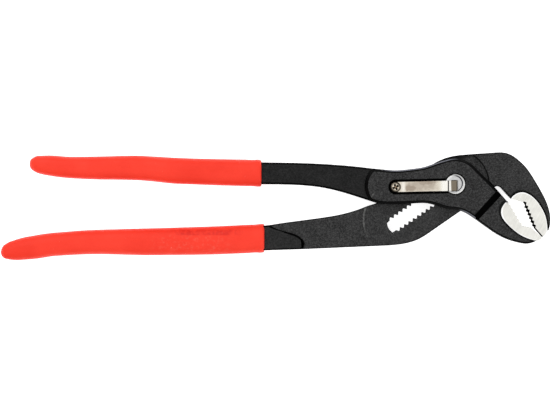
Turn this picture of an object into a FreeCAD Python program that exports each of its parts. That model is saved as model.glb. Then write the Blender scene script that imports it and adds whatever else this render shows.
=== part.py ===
"""Tongue and groove pliers of the 300 mm class, lying flat with the button facing up.

Frame: the origin is on the pivot axis, in the plane the tool rests on. +X points to the jaws, +Y to the box
handle, +Z out of the front cheek. The tool is at its first notch with the jaws shut. Millimetres.
"""
import FreeCAD, Part
import math
import os
from FreeCAD import Placement, Rotation, Vector

os.makedirs("parts", exist_ok=True)
doc = FreeCAD.newDocument("tongue_and_groove_pliers")

# ---------------------------------------------------------------- driving dimensions
SIZES = {
    # thicknesses, all centred on the middle plane of the box
    "box_thick": 15.0,  # over both cheeks
    "window_gap": 6.2,  # between the cheeks
    "jaw_thick": 10.0,
    "ground_thick": 8.6,  # over the ground ovals of the jaws
    "neck_thick": 9.5,  # box handle
    "web_thick": 6.1,  # slot handle where it can enter the box handle's channel
    "tongue_thick": 5.8,
    "shank_thick": 9.6,  # slot handle behind its nose
    "grip_thick": 13.6,
    "edge_break": 1.3,  # chamfer round the box
    "forging_break": 0.8,  # chamfer on the neck and the lower jaw
    "slope_run": 3.3,  # from the cheek's straight edge to the jaw's face, level with the face
    "tongue_play": 0.3,  # room beside the tongue's moving edges
    # slot and adjustment
    "slot_angle": 34.85,
    "slot_pitch": 2.87,
    "slot_tip": 3.1,  # half width between tooth tips
    "slot_valley": 4.3,  # half width between valleys
    "slot_plain": 4.5,  # half width behind the teeth
    "slot_back": 43.4,  # pivot to the slot's far end
    "slot_offset": -0.85,  # slot's centreline from the pivot axis, along ACROSS
    "slot_phase": 0.8,  # a valley's place along the slot, next to the pivot
    "band_depth": 1.5,  # height of the toothed band
    "valley_mouth": 1.22,  # half width of a valley between the tooth tips
    "valley_floor": 0.3,  # half width of a valley's bottom
    "notches": 12.0,  # steps from the first to the last position
    "open_angle": 40.0,  # widest opening of the handles
    # pivot, key and button
    "shank_radius": 4.4,  # of the bolt, where it fills the slot
    "journal_radius": 3.6,
    "journal_play": 0.05,
    "collar_radius": 5.72,
    "collar_low": 10.5,
    "collar_high": 11.8,
    "fork_half": 3.0,
    "fork_gap": 2.25,  # half width of the key's guide
    "hub_radius": 2.1,
    "hub_clear": 0.1,
    "ring_radius": 4.8,
    "ring_thick": 0.8,
    "ring_low": 0.35,
    "ring_mouth": 5.4,
    "groove_radius": 3.0,
    "counterbore_radius": 5.4,
    "counterbore_deep": 1.3,
    "key_half": 2.2,
    "key_low": 9.0,
    "key_high": 10.35,
    "key_clear": 0.1,
    "stem_radius": 0.9,
    "rivet_radius": 1.7,
    "rivet_thick": 0.7,
    "bore_radius": 5.8,  # hole in the front cheek
    "button_radius": 5.4,
    "button_low": 13.6,
    "button_high": 14.4,
    "land_radius": 4.7,
    "land_x": -0.44,
    "land_y": 0.27,
    "land_high": 14.95,
    "press_travel": 1.7,
    # leaf spring and its screw
    "spring_thick": 0.5,
    "spring_width": 5.7,
    "spring_length": 33.5,  # screw to toe
    "spring_tilt": 1.3,
    "crest_low": 15.0,  # underside of the spring where it crosses the button's land
    "toe_low": 14.15,  # underside of the spring's toe
    "toe_clear": 0.2,  # room round the toe in the button
    "recess_radius": 3.9,
    "recess_floor": 13.0,
    "screw_x": -32.4,
    "screw_y": -1.6,
    "screw_head_radius": 2.85,
    "screw_head_thick": 1.1,
    "screw_shank_radius": 1.5,
    "screw_shank_long": 2.2,
    "cross_long": 3.6,
    "cross_wide": 0.75,
    "cross_deep": 0.8,
    "cross_turn": 25.0,
}
sheet = doc.addObject("Spreadsheet::Sheet", "sizes")
for row, (alias, value) in enumerate(SIZES.items(), start=1):
    sheet.set(f"A{row}", alias)
    sheet.set(f"B{row}", str(value))
    sheet.setAlias(f"B{row}", alias)
doc.recompute()


def size(alias):
    """A driving dimension, read from the sheet."""
    return float(sheet.get(alias))


# ---------------------------------------------------------------- directions of the slot
def polar(radius, degrees):
    return (radius * math.cos(math.radians(degrees)), radius * math.sin(math.radians(degrees)))


SLOT = size("slot_angle")
ALONG = Vector(*polar(1, SLOT), 0)  # up the slot, towards the jaws
ACROSS = Vector(*polar(1, SLOT - 90), 0)  # to the slot's lower right side
TRAVEL = size("notches") * size("slot_pitch")
TONGUE_UPPER = -15.7  # the tongue's straight edges, measured along ACROSS
TONGUE_LOWER = 13.8
PLAY = size("tongue_play")


def slot_point(along, across, turned=0.0):
    """A point given along and across the slot, with both directions turned about the pivot."""
    p = ALONG * along + ACROSS * across
    p = Rotation(Vector(0, 0, 1), turned).multVec(p)
    return (p.x, p.y)


# ---------------------------------------------------------------- outline helpers
def flat(p):
    return Vector(p[0], p[1], 0)


def lines(*points):
    """Straight edges from point to point."""
    return [Part.LineSegment(flat(a), flat(b)) for a, b in zip(points, points[1:])]


def arc(start, middle, end):
    return [Part.Arc(flat(start), flat(middle), flat(end))]


def curve(*points, start=None, end=None):
    """One smooth curve through the points, with end directions if both are given."""
    spline = Part.BSplineCurve()
    points = [flat(p) for p in points]
    if start and end:
        first, last = flat(start).normalize(), flat(end).normalize()
        spline.interpolate(Points=points, InitialTangent=first, FinalTangent=last, Scale=False)
    else:
        spline.interpolate(Points=points)
    return [spline]


def teeth(start, end, count, depth):
    """A row of V grooves from start to end, cut into the metal on the right of that direction."""
    a, b = flat(start), flat(end)
    step = (b - a) / count
    inward = Vector(step.y, -step.x, 0).normalize() * depth
    points = [a]
    for i in range(count):
        points += [a + step * (i + 0.55) + inward, a + step * (i + 1)]
    return lines(*[(p.x, p.y) for p in points])


def plane(body, role="XY_Plane"):
    return next(f for f in body.Origin.OriginFeatures if f.Role == role)


def part_body(label):
    body = doc.addObject("PartDesign::Body", label)
    body.Label = label
    return body


def sketch(body, name, edges, level):
    """A sketch of edges on the body's XY plane, raised to an expression for its level."""
    made = body.newObject("Sketcher::SketchObject", f"{body.Label}_{name}")
    made.AttachmentSupport = (plane(body), [""])
    made.MapMode = "FlatFace"
    made.setExpression("AttachmentOffset.Base.z", level)
    made.addGeometry(list(edges), False)
    return made


def pad(body, name, edges, low, high):
    """Material between two levels given as expressions."""
    made = body.newObject("PartDesign::Pad", f"{body.Label}_{name}_pad")
    made.Profile = sketch(body, name, edges, low)
    made.setExpression("Length", f"({high}) - ({low})")
    return made


def pocket(body, name, edges, low, high):
    """A cut between two levels. The sketch is on the upper level and the cut goes down from it."""
    made = body.newObject("PartDesign::Pocket", f"{body.Label}_{name}_cut")
    made.Profile = sketch(body, name, edges, high)
    made.setExpression("Length", f"({high}) - ({low})")
    doc.recompute()
    before, after = made.BaseFeature.Shape.Volume, made.Shape.Volume
    if not after < before - 1e-6:
        raise RuntimeError(f"{name} of {body.Label} cuts nothing")
    return made


def levels(thickness):
    """The two faces of a slab that is centred on the box's middle plane."""
    middle = "sizes.box_thick / 2"
    return f"{middle} - sizes.{thickness} / 2", f"{middle} + sizes.{thickness} / 2"


def slab(body, name, edges, thickness):
    return pad(body, name, edges, *levels(thickness))


def break_edges(body, name, thickness, amount, wanted):
    """Chamfers the edges on both faces of a slab whose middle point passes the test wanted(x, y)."""
    doc.recompute()
    base = body.Tip
    half = size(thickness) / 2
    names = []
    for number, edge in enumerate(base.Shape.Edges, start=1):
        box = edge.BoundBox
        on_face = box.ZLength < 1e-6 and abs(abs(box.ZMin - size("box_thick") / 2) - half) < 1e-6
        middle = edge.valueAt((edge.FirstParameter + edge.LastParameter) / 2)
        if on_face and wanted(middle.x, middle.y):
            names.append(f"Edge{number}")
    made = body.newObject("PartDesign::Chamfer", f"{body.Label}_{name}_break")
    made.Base = (base, names)
    made.setExpression("Size", f"sizes.{amount}")
    doc.recompute()
    return made


def cylinder(name, radius, low, high, x="0", y="0"):
    made = doc.addObject("Part::Cylinder", name)
    made.setExpression("Radius", radius)
    made.setExpression("Height", f"({high}) - ({low})")
    made.setExpression("Placement.Base.x", x)
    made.setExpression("Placement.Base.y", y)
    made.setExpression("Placement.Base.z", low)
    return made


def joined(kind, name, base, tool):
    made = doc.addObject(f"Part::{kind}", name)
    made.Base, made.Tool = base, tool
    return made


def cut(name, base, *tools):
    for number, tool in enumerate(tools, start=1):
        base = joined("Cut", name if number == len(tools) else f"{name}_step{number}", base, tool)
    return base


def circle(x, y, radius):
    return [Part.Circle(Vector(x, y, 0), Vector(0, 0, 1), radius)]


# ---------------------------------------------------------------- slot handle: outline spans
NOSE_TOP, NOSE_LOW = (-100.9, -22.3), (-83.6, -35.5)
RIDGE_TOP, RIDGE_LOW = (-48.6, -12.3), (-44.2, -33.8)
SHOULDER_TOP = (8.9, 16.33)
shank_top = curve((-238, -31.6), (-196, -26.4), (-156, -25.0), (-120, -23.9), NOSE_TOP)
web_top_points = [NOSE_TOP, (-83.4, -19.8), (-70.3, -18.0), (-61.5, -16.4), (-52.8, -13.9), RIDGE_TOP]
web_top = curve(*web_top_points)
JOIN_TOP = slot_point(-31, TONGUE_UPPER)  # where the upper edge becomes straight
LEAVE_TOP = slot_point(-8.6, TONGUE_UPPER)
tongue_join = curve(RIDGE_TOP, (-42.4, -10.2), JOIN_TOP, start=(5.5, 2.3), end=(6.0, 4.2))
tongue_top = tongue_join + lines(JOIN_TOP, LEAVE_TOP)
tongue_top += curve(LEAVE_TOP, (-11.6, 11.1), (-4.7, 14.35), (0, 15.5), SHOULDER_TOP,
                    start=(4.1, 2.85), end=(9, 0.6))
shank_low = curve((-238, -39.6), (-222, -38.2), (-196, -36.9), (-156, -37.4), (-120, -36.7), NOSE_LOW)
web_low = curve(NOSE_LOW, (-57.2, -34.3), RIDGE_LOW)
JOIN_LOW = slot_point(-26.4, TONGUE_LOWER)
tongue_low = curve(RIDGE_LOW, (-35.3, -33.4), (-26.6, -32.3), (-20.0, -30.2), JOIN_LOW,
                   start=(9, 0.3), end=(5.7, 4.0))
CORNER = slot_point(17.9, TONGUE_LOWER)  # just before the hook turns down
ridge = arc(RIDGE_TOP, (-49.9, -20.5), RIDGE_LOW)
nose = curve(NOSE_TOP, (-93.5, -25.8), (-84.1, -29.5), (-82.3, -31.8), NOSE_LOW)
shank_end = curve((-238, -31.6), (-241.4, -35.6), (-238, -39.6))

# hook jaw
ROOF_IN, ROOF_OUT = (30.6, -7.9), (37.6, -9.8)
HOOK_TEETH_END, HOOK_TIP = (43.4, -23.8), (47.75, -28.75)
HOOK_CREST = (24.0, 17.35)
HOOK_EDGE = ((SHOULDER_TOP[0] + HOOK_CREST[0]) / 2, (SHOULDER_TOP[1] + HOOK_CREST[1]) / 2)
hook_outer = lines(SHOULDER_TOP, HOOK_CREST)
hook_outer += curve(HOOK_CREST, (30.3, 16.1), (34.6, 13.2), (39.0, 8.8), (43.4, 2.2), (49.4, -8.7),
                    (51.9, -17.4), (50.9, -25.0), (48.7, -28.2), start=(6, 0.3), end=(-2, -2.4))
hook_inner = lines((48.7, -28.2), HOOK_TIP, HOOK_TEETH_END)
hook_inner += teeth(HOOK_TEETH_END, ROOF_OUT, 7, 0.85)
hook_inner += lines(ROOF_OUT, ROOF_IN)
hook_inner += lines(ROOF_IN, (25.2, -1.9))
hook_inner += curve((25.2, -1.9), (24.4, -1.35), CORNER)


def tooth_row(side, first, last, grow=0.0):
    """One toothed edge of the slot between two valleys, towards the jaws. side is +1 for the lower edge."""
    tip, valley = size("slot_tip") + grow, size("slot_valley") + grow
    mouth, floor = size("valley_mouth"), size("valley_floor")
    points = []
    for i in range(first, last + 1):
        at = i * size("slot_pitch") + size("slot_phase")
        points += [(at - mouth, tip), (at - floor, valley), (at + floor, valley), (at + mouth, tip)]
    return [slot_point(along, side * across + size("slot_offset")) for along, across in points]


def slot_handle():
    """Forging with the lower handle, the toothed slot and the hook jaw."""
    body = part_body("slot_handle")
    slab(body, "web", shank_top + web_top + ridge + web_low + shank_low + shank_end, "web_thick")
    slab(body, "shank", shank_top + nose + shank_low + shank_end, "shank_thick")
    back = lines(SHOULDER_TOP, HOOK_EDGE, (24, 6), CORNER)
    slab(body, "tongue", tongue_top + back + lines(CORNER, JOIN_LOW) + tongue_low + ridge, "tongue_thick")
    # the thick jaw starts at an arc about the pivot and runs beside the cheek's straight edge
    radius = math.hypot(*SHOULDER_TOP)
    turn = polar(radius, 5.5)
    gap_line = turn[0] + turn[1]
    low = slot_point(0, TONGUE_LOWER)
    x = (gap_line * ACROSS.y - (low[0] * ACROSS.x + low[1] * ACROSS.y)) / (ACROSS.y - ACROSS.x)
    step_out = (x, gap_line - x)
    shoulder = arc(SHOULDER_TOP, polar(radius, 33), turn) + lines(turn, step_out, CORNER)
    slab(body, "jaw", shoulder + hook_outer + hook_inner, "jaw_thick")
    # ground oval on both faces
    low, high = levels("jaw_thick")
    low_ground, high_ground = levels("ground_thick")
    oval = curve(ROOF_IN, (32.0, -6.0), (36.4, -4.3), (41.7, -6.3), (46.9, -12.2), (49.6, -18.0),
                 (50.6, -25.2), start=(0.4, 2.0), end=(0.2, -4))
    oval += lines((50.6, -25.2), (54, -27), (53, -31), (40, -31), (36, -20), (30, -12), ROOF_IN)
    pocket(body, "oval_front", oval, high_ground, high)
    pocket(body, "oval_rear", oval, low, low_ground)
    # slot: plain behind, toothed in front
    half, offset = size("slot_plain"), size("slot_offset")
    far, near = -size("slot_back"), 0.3
    upper, lower = offset - half, offset + half
    plain = lines(slot_point(far + 0.7, upper), slot_point(near, upper))
    plain += arc(slot_point(near, upper), slot_point(near + half, offset), slot_point(near, lower))
    plain += lines(slot_point(near, lower), slot_point(far + 0.7, lower))
    plain += arc(slot_point(far + 0.7, lower), slot_point(far, offset), slot_point(far + 0.7, upper))
    low, high = levels("tongue_thick")
    pocket(body, "slot", plain, low, f"{high} - sizes.band_depth")
    far_upper, far_lower = slot_point(far + 0.95, offset - 2.8), slot_point(far + 0.5, offset + 3.1)
    near_side = [slot_point(near + half, offset + side * size("slot_tip")) for side in (-1, 1)]
    band = lines(far_upper, *tooth_row(-1, -14, 1), *near_side, *reversed(tooth_row(1, -14, 1)), far_lower)
    band += arc(far_lower, slot_point(far, offset), far_upper)
    pocket(body, "band", band, f"{high} - sizes.band_depth", high)
    return body


# ---------------------------------------------------------------- box handle: outline spans
BOX_TOP, BOX_LOW = (-44.6, 8.5), (-46.0, -9.2)
ARC_RADIUS = 14.0
BOX_CORNER, SLOPE_TOP, SLOPE_LOW = (22.2, -2.4), (25.3, -5.87), (12.2, -19.75)
MOUTH_TOP, MOUTH_LOW = (28.1, -9.0), (36.4, -22.7)
box_shank_top = curve(BOX_TOP, (-61.5, 10.3), (-83.4, 11.5), (-106.1, 11.9), (-165, 13.1), (-222, 13.6))
box_shank_low = curve(BOX_LOW, (-57.2, -5.6), (-70.3, -2.2), (-83.4, -0.6), (-105.2, -0.1), (-150, 1.2),
                      (-180, 4.0), (-222, 6.2))
box_shank_end = curve((-222, 13.6), (-225.6, 9.9), (-222, 6.2))
box_top = curve(BOX_TOP, (-39.7, 8.0), (-32.0, 7.5), (-23.3, 8.3), (-16.4, 9.4), (-11.0, 11.3),
                polar(ARC_RADIUS, 105), start=(7, -0.9), end=polar(6, 15))
box_top += arc(polar(ARC_RADIUS, 105), polar(ARC_RADIUS, 75), polar(ARC_RADIUS, 45))
box_top += lines(polar(ARC_RADIUS, 45), BOX_CORNER)
box_low = curve(BOX_LOW, (-42.4, -10.3), (-33.3, -10.9), (-21.6, -10.5), (-15.1, -10.4), (-9.9, -11.7),
                (-4.2, -13.4), (2.2, -14.2), (6.9, -16.1), SLOPE_LOW, start=(4, -1.4), end=(3.2, -2.4))
box_shank = box_shank_top + box_shank_end + box_shank_low + lines(BOX_LOW, BOX_TOP)
box_left = arc(BOX_TOP, (-49.0, 0.0), BOX_LOW)
jaw_outer = curve(SLOPE_LOW, (17.2, -23.4), (25.9, -28.9), (34.6, -31.9), (39.6, -32.5), (44.3, -31.0),
                  start=(4.0, -3.0), end=(4.0, 2.0))
JAW_TIP = (47.45, -29.05)
jaw_inner = lines((44.3, -31.0), (45.4, -31.0), (47.3, -29.6), JAW_TIP, (41.7, -23.8), MOUTH_LOW)
jaw_inner += teeth(MOUTH_LOW, MOUTH_TOP, 7, 0.7)


def box_handle():
    """Forging with the upper handle, the box and the lower jaw."""
    body = part_body("box_handle")
    slab(body, "neck", box_shank, "neck_thick")
    break_edges(body, "neck", "neck_thick", "forging_break", lambda x, y: abs(x + 45.3) > 3)
    slope = lines(BOX_CORNER, SLOPE_TOP, SLOPE_LOW)
    slab(body, "head", box_left + box_top + slope + box_low, "box_thick")
    edge_of_head = lambda x, y: not (y < x - 15 and y > -19 and x > 12.3)
    break_edges(body, "head", "box_thick", "edge_break", edge_of_head)
    root = lines(SLOPE_LOW, (6, -9), BOX_CORNER)
    slab(body, "jaw", root + lines(BOX_CORNER, SLOPE_TOP, MOUTH_TOP) + jaw_outer + jaw_inner, "jaw_thick")
    break_edges(body, "jaw", "jaw_thick", "forging_break", lambda x, y: x > 14 and y < -22 and x < 44)
    slope_faces(body)
    # ground oval on both faces of the jaw
    low, high = levels("jaw_thick")
    low_ground, high_ground = levels("ground_thick")
    oval = curve(MOUTH_TOP, (25.2, -13.6), (25.2, -17.0), (28.6, -22.0), (33.4, -26.3), (38.6, -29.3),
                 (44.3, -31.0), start=(-2, -2.6), end=(4, -0.9))
    oval += lines((44.3, -31.0), (50, -31.5), (49, -26), (40, -14), (32, -8), MOUTH_TOP)
    pocket(body, "oval_front", oval, high_ground, high)
    pocket(body, "oval_rear", oval, low, low_ground)
    low, high = levels("window_gap")
    pocket(body, "window", window(), low, high)
    # recess for the leaf spring, and the hole that takes the collar and the button
    top = "sizes.box_thick"
    pocket(body, "recess", spring_recess(), "sizes.recess_floor", top)
    pocket(body, "button_bore", circle(0, 0, size("bore_radius")), high, top)
    pocket(body, "screw_hole", circle(size("screw_x"), size("screw_y"), size("screw_shank_radius")),
           "sizes.recess_floor - sizes.screw_shank_long - 0.1", "sizes.recess_floor")
    pocket(body, "journal_bore", circle(0, 0, size("journal_radius") + size("journal_play")), "0", low)
    pocket(body, "counterbore", circle(0, 0, size("counterbore_radius")), "0", "sizes.counterbore_deep")
    return body


def slope_faces(body):
    """Cuts the two slopes that lead from the cheeks down to the faces of the lower jaw."""
    edge_from, edge_to = Vector(21.9, -4.5, 0), Vector(11.3, -16.3, 0)
    down = (edge_to - edge_from).normalize()
    out = Vector(-down.y, down.x, 0)
    width, beyond, middle = size("slope_run"), 4.0, size("box_thick") / 2
    place = Placement(edge_from, Rotation(out, Vector(0, 0, 1), down, "XYZ"))
    for name, sign in (("front", 1), ("rear", -1)):
        cheek, jaw = middle + sign * middle, middle + sign * size("jaw_thick") / 2
        clear = cheek + 2 * sign
        corners = [(0, cheek), (width, jaw), (width + beyond, jaw), (width + beyond, clear), (0, clear)]
        section = body.newObject("Sketcher::SketchObject", f"box_handle_slope_{name}")
        section.AttachmentSupport = (plane(body), [""])
        section.MapMode = "FlatFace"
        section.AttachmentOffset = place
        section.addGeometry(lines(*corners, corners[0]), False)
        made = body.newObject("PartDesign::Pocket", f"box_handle_slope_{name}_cut")
        made.Profile = section
        made.Length = 60
        made.Midplane = True
        doc.recompute()
        if not made.Shape.Volume < made.BaseFeature.Shape.Volume - 1:
            raise RuntimeError(f"the {name} slope cuts nothing")


def window():
    """The opening between the cheeks: the tongue's swept path, and the channel in the neck for the web."""
    half_open = size("open_angle") / 2
    wide_open = size("open_angle")
    lower = (TONGUE_LOWER + PLAY) / math.cos(math.radians(half_open))
    lower_knee = slot_point(0, lower, half_open)
    lower_far = slot_point(40, TONGUE_LOWER + PLAY)
    down = slot_point(-32, 0, wide_open)
    lower_end = (lower_knee[0] + down[0], lower_knee[1] + down[1])
    shift = ALONG * TRAVEL - ACROSS * PLAY
    floor = [(x + shift.x, y + shift.y) for x, y in web_top_points]
    channel_end = (floor[0][0], -38)
    reach = [p for p in floor if p[0] < floor[-1][0] - 1]
    last = reach[-1]
    outside = lines(last, (last[0], 30), (45, 30), lower_far, lower_knee, lower_end, channel_end, reach[0])
    return curve(*reach) + outside


def spring_line(along, across):
    """A point given along and across the leaf spring, from its screw."""
    p = Rotation(Vector(0, 0, 1), size("spring_tilt")).multVec(Vector(along, across, 0))
    return (p.x + size("screw_x"), p.y + size("screw_y"))


def spring_recess():
    radius, reach = size("recess_radius"), -size("screw_x")
    sides = lines(spring_line(0, -radius), spring_line(reach, -radius), spring_line(reach, radius),
                  spring_line(0, radius))
    return sides + arc(spring_line(0, radius), spring_line(-radius, 0), spring_line(0, -radius))


# ---------------------------------------------------------------- dipped grips
# stations from tip to mouth: along X, upper edge, lower edge, share of the full thickness
SLOT_GRIP = ((-247.9, -35.9, -38.6, 0.30), (-245.4, -32.6, -40.9, 0.60), (-240.0, -30.2, -41.6, 0.80),
             (-232.0, -28.3, -41.2, 0.93), (-218.0, -26.3, -39.4, 1.0), (-196.0, -24.8, -38.4, 1.0),
             (-165.0, -23.9, -38.9, 1.0), (-137.0, -23.1, -38.7, 1.0), (-103.9, -21.6, -37.4, 0.97))
BOX_GRIP = ((-232.2, 12.3, 9.6, 0.30), (-230.6, 14.4, 7.6, 0.58), (-227.6, 15.6, 5.9, 0.80),
            (-221.0, 15.8, 4.5, 0.95), (-210.0, 15.1, 3.1, 1.0), (-196.0, 15.2, 2.5, 1.0),
            (-175.0, 15.7, 2.1, 1.0), (-150.0, 14.4, 0.0, 1.0), (-105.5, 13.3, -1.5, 0.97))


def grip(label, stations, core_edges, core_thick):
    """A rounded sleeve through the stations, with the steel's own shape cut out of it."""
    body = part_body(label)
    sections = []
    for number, (x, upper, lower, share) in enumerate(stations):
        section = body.newObject("Sketcher::SketchObject", f"{label}_section{number}")
        section.AttachmentSupport = (plane(body, "YZ_Plane"), [""])
        section.MapMode = "FlatFace"
        section.AttachmentOffset = Placement(Vector((upper + lower) / 2, 0, x), Rotation())
        section.setExpression("AttachmentOffset.Base.y", "sizes.box_thick / 2")
        half_y, half_z = (upper - lower) / 2, size("grip_thick") * share / 2
        section.addGeometry(rounded_section(half_y, half_z), False)
        sections.append(section)
    loft = body.newObject("PartDesign::AdditiveLoft", f"{label}_loft")
    loft.Profile = sections[0]
    loft.Sections = sections[1:]
    loft.Ruled = True
    doc.recompute()
    low, high = levels(core_thick)
    pocket(body, "core", core_edges, low, high)
    return body


def rounded_section(half_y, half_z):
    """A closed smooth section, fuller than an ellipse, in two halves that meet at its sides."""
    fullness, steps = 2.7, 8
    halves = []
    for side in (1, -1):
        points = []
        for i in range(steps + 1):
            angle = math.pi * i / steps
            across, up = math.cos(angle), math.sin(angle)
            across = math.copysign(abs(across) ** (2 / fullness), across)
            points.append((half_y * across * side, half_z * up ** (2 / fullness) * side))
        halves += curve(*points)
    return halves


# ---------------------------------------------------------------- pivot, key and button
SHANK_LOW = "(sizes.box_thick - sizes.window_gap) / 2 + 0.1"  # where the bolt's journal ends


def pivot_bolt():
    """Journal, shank and collar in one. The shank fills the slot, and its fork guides the key."""
    shank = cylinder("bolt_shank", "sizes.shank_radius", SHANK_LOW, "sizes.collar_low")
    shank.Placement.Base = Vector(*slot_point(0, size("slot_offset")), 0)
    for axis, part in (("x", ACROSS.x), ("y", ACROSS.y)):
        shank.setExpression(f"Placement.Base.{axis}", f"sizes.slot_offset * {part:.6f}")
    journal = cylinder("journal", "sizes.journal_radius", "0", SHANK_LOW)
    collar = cylinder("collar", "sizes.collar_radius", "sizes.collar_low", "sizes.collar_high")
    whole = joined("Fuse", "journal_and_shank", journal, shank)
    whole = joined("Fuse", "bolt_blank", whole, collar)
    flats = []
    for side in (-1, 1):
        slice_off = doc.addObject("Part::Box", f"flat_{'lower' if side > 0 else 'upper'}")
        slice_off.Length, slice_off.Width = 14, 6
        slice_off.setExpression("Height", "sizes.collar_low - (sizes.key_low - 0.15)")
        across = size("fork_half") + 6 if side > 0 else -size("fork_half")
        corner = Vector(*slot_point(-7, across + size("slot_offset")), size("key_low") - 0.15)
        slice_off.Placement = Placement(corner, Rotation(Vector(0, 0, 1), SLOT))
        flats.append(slice_off)
    guide = doc.addObject("Part::Box", "key_guide")
    guide.Width = 14
    guide.setExpression("Length", "2 * sizes.fork_gap")
    guide.setExpression("Height", "sizes.collar_low - (sizes.key_low - sizes.press_travel - 0.1)")
    low = size("key_low") - size("press_travel") - 0.1
    corner = Vector(*slot_point(-size("fork_gap"), 7), low)
    guide.Placement = Placement(corner, Rotation(Vector(0, 0, 1), SLOT))
    stem_hole = cylinder("stem_hole", "sizes.hub_radius + sizes.hub_clear", "6.2", "sizes.collar_high")
    groove = cut("ring_groove", cylinder("groove_outer", "sizes.journal_radius + 1", "sizes.ring_low",
                                         "sizes.ring_low + sizes.ring_thick"),
                 cylinder("groove_inner", "sizes.groove_radius", "sizes.ring_low",
                          "sizes.ring_low + sizes.ring_thick"))
    return cut("pivot_bolt", whole, *flats, guide, stem_hole, groove)


def bolt_ring():
    """Snap ring in the bolt's groove, under the rear cheek's counterbore."""
    low, high = "sizes.ring_low", "sizes.ring_low + sizes.ring_thick"
    outer = cylinder("ring_outer", "sizes.ring_radius", low, high)
    inner = cylinder("ring_inner", "sizes.groove_radius", low, high)
    mouth = doc.addObject("Part::Box", "ring_mouth")
    mouth.Length, mouth.Height = 8, 3
    mouth.setExpression("Width", "sizes.ring_mouth")
    mouth.Placement = Placement(Vector(0, -size("ring_mouth") / 2, -0.5), Rotation())
    return cut("bolt_ring", outer, inner, mouth)


def lock_key():
    """Toothed bar across the slot, on the button's stem."""
    body = part_body("lock_key")
    half, grow, offset = size("key_half"), -size("key_clear"), size("slot_offset")
    profile = []
    for side in (1, -1):
        ends = [slot_point(x, side * (size("slot_tip") + grow) + offset) for x in (-half, half)]
        edge = [ends[0], *tooth_row(side, 0, 0, grow), ends[1]]
        profile += edge[::side]
    pad(body, "bar", lines(*profile, profile[0]), "sizes.key_low", "sizes.key_high")
    hole = circle(0, 0, size("stem_radius") + size("key_clear"))
    pocket(body, "hole", hole, "sizes.key_low", "sizes.key_high")
    return body


def lock_button():
    """Round button with an off-centre land, a pocket for the spring's toe, a hub and a riveted stem."""
    disc = cylinder("disc", "sizes.button_radius", "sizes.button_low", "sizes.button_high")
    land = cylinder("land", "sizes.land_radius", "sizes.button_low", "sizes.land_high",
                    "sizes.land_x", "sizes.land_y")
    hub = cylinder("hub", "sizes.hub_radius", "sizes.key_high + 0.05", "sizes.button_low + 0.2")
    rivet_low, rivet_high = "sizes.key_low - 0.05 - sizes.rivet_thick", "sizes.key_low - 0.05"
    stem = cylinder("stem", "sizes.stem_radius", rivet_low, "sizes.button_low")
    rivet = cylinder("rivet", "sizes.rivet_radius", rivet_low, rivet_high)
    whole = joined("Fuse", "button_disc", disc, land)
    for name, piece in (("button_hub", hub), ("button_stem", stem), ("button_whole", rivet)):
        whole = joined("Fuse", name, whole, piece)
    toe_pocket = doc.addObject("Part::Box", "toe_pocket")
    toe_pocket.Length, toe_pocket.Height = 3.4, 3
    toe_pocket.setExpression("Width", "sizes.spring_width + 2 * sizes.toe_clear")
    corner = spring_line(size("spring_length") - 3.0, -size("spring_width") / 2 - size("toe_clear"))
    turn = Rotation(Vector(0, 0, 1), size("spring_tilt"))
    toe_pocket.Placement = Placement(Vector(*corner, size("toe_low") - 0.05), turn)
    return cut("lock_button", whole, toe_pocket)


def leaf_spring():
    """Flat spring from its screw to the button: flat eye, gentle rise, level crest and sloping toe."""
    body = part_body("leaf_spring")
    section = body.newObject("Sketcher::SketchObject", "leaf_spring_side")
    section.AttachmentSupport = (plane(body, "XZ_Plane"), [""])
    section.MapMode = "FlatFace"
    floor, thick, reach = size("recess_floor"), size("spring_thick"), size("spring_length")
    crest, half = size("crest_low"), size("spring_width") / 2
    under = [(-half, floor), (3.6, floor), (27.4, crest), (30.7, crest), (reach, size("toe_low"))]
    over = [(x, z + thick) for x, z in under]
    section.addGeometry(lines(*under, *reversed(over), under[0]), False)
    strip = body.newObject("PartDesign::Pad", "leaf_spring_strip")
    strip.Profile = section
    strip.Midplane = True
    strip.setExpression("Length", "sizes.spring_width")
    doc.recompute()
    pocket(body, "eye", circle(0, 0, size("screw_shank_radius") + 0.1), "sizes.recess_floor",
           "sizes.recess_floor + sizes.spring_thick")
    corner = lines((0, half), (-half - 1, half), (-half - 1, -half), (0, -half))
    corner += arc((0, -half), (-half, 0), (0, half))
    pocket(body, "round_end", corner, "sizes.recess_floor", "sizes.recess_floor + sizes.spring_thick")
    turn = Rotation(Vector(0, 0, 1), size("spring_tilt"))
    body.Placement = Placement(Vector(size("screw_x"), size("screw_y"), 0), turn)
    return body


def spring_screw():
    """Pan head screw with a cross recess."""
    low = "sizes.recess_floor + sizes.spring_thick"
    x, y = "sizes.screw_x", "sizes.screw_y"
    head = cylinder("screw_head", "sizes.screw_head_radius", low, f"{low} + sizes.screw_head_thick", x, y)
    shank_low = "sizes.recess_floor - sizes.screw_shank_long"
    shank = cylinder("screw_shank", "sizes.screw_shank_radius", shank_low, low, x, y)
    whole = joined("Fuse", "screw_blank", head, shank)
    arms = []
    top = size("recess_floor") + size("spring_thick") + size("screw_head_thick")
    middle = Vector(size("screw_x"), size("screw_y"), top - size("cross_deep"))
    for number in range(2):
        arm = doc.addObject("Part::Box", f"cross_arm{number}")
        arm.Height = 2
        arm.setExpression("Length", "sizes.cross_long")
        arm.setExpression("Width", "sizes.cross_wide")
        turn = Rotation(Vector(0, 0, 1), size("cross_turn") + 90 * number)
        corner = turn.multVec(Vector(size("cross_long") / 2, size("cross_wide") / 2, 0))
        arm.Placement = Placement(middle - corner, turn)
        arms.append(arm)
    return cut("spring_screw", whole, *arms)




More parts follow.
